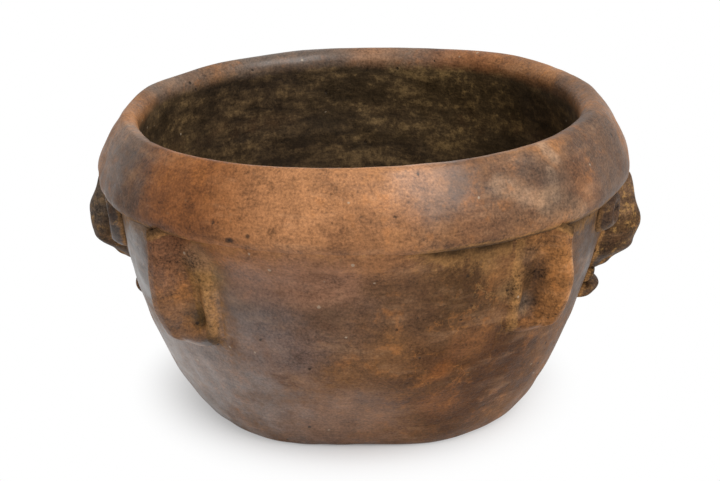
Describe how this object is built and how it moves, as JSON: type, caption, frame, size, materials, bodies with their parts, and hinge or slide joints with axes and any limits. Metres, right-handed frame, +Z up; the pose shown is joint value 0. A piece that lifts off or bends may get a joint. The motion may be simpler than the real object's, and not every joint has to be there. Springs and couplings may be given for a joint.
{
  "type": "earthenware face bowl",
  "caption": "Hand-built earthenware bowl with a thick leaning collar; ears, eyes, nose and lips pressed on its wall make a face at either end.",
  "frame": {"origin": "middle of the flat foot, on the surface that the bowl stands on", "axes": "+Z up through the mouth; +X towards the nose of one face, -X towards the other; -Y is the side seen in the picture"},
  "size_m": [0.2248, 0.2094, 0.126],
  "materials": {
    "base_clay": "unpolished low-fired earthenware",
    "wall_clay": "rubbed low-fired earthenware, smoke-clouded",
    "collar_clay": "rubbed low-fired earthenware, worn to a satin",
    "face_clay": "finger-smoothed low-fired earthenware",
    "ear_clay": "finger-smoothed low-fired earthenware"
  },
  "bodies": {
    "root": {"floor_pad": "base_clay", "lower_wall": "wall_clay", "middle_wall": "wall_clay", "upper_wall": "wall_clay", "collar": "collar_clay", "right_nose": "face_clay", "right_front_eye": "face_clay", "right_back_eye": "face_clay", "right_upper_lip": "face_clay", "right_lower_lip": "face_clay", "right_front_ear": "ear_clay", "right_back_ear": "ear_clay", "left_nose": "face_clay", "left_front_eye": "face_clay", "left_back_eye": "face_clay", "left_upper_lip": "face_clay", "left_lower_lip": "face_clay", "left_front_ear": "ear_clay", "left_back_ear": "ear_clay"}
  },
  "joints": []
}
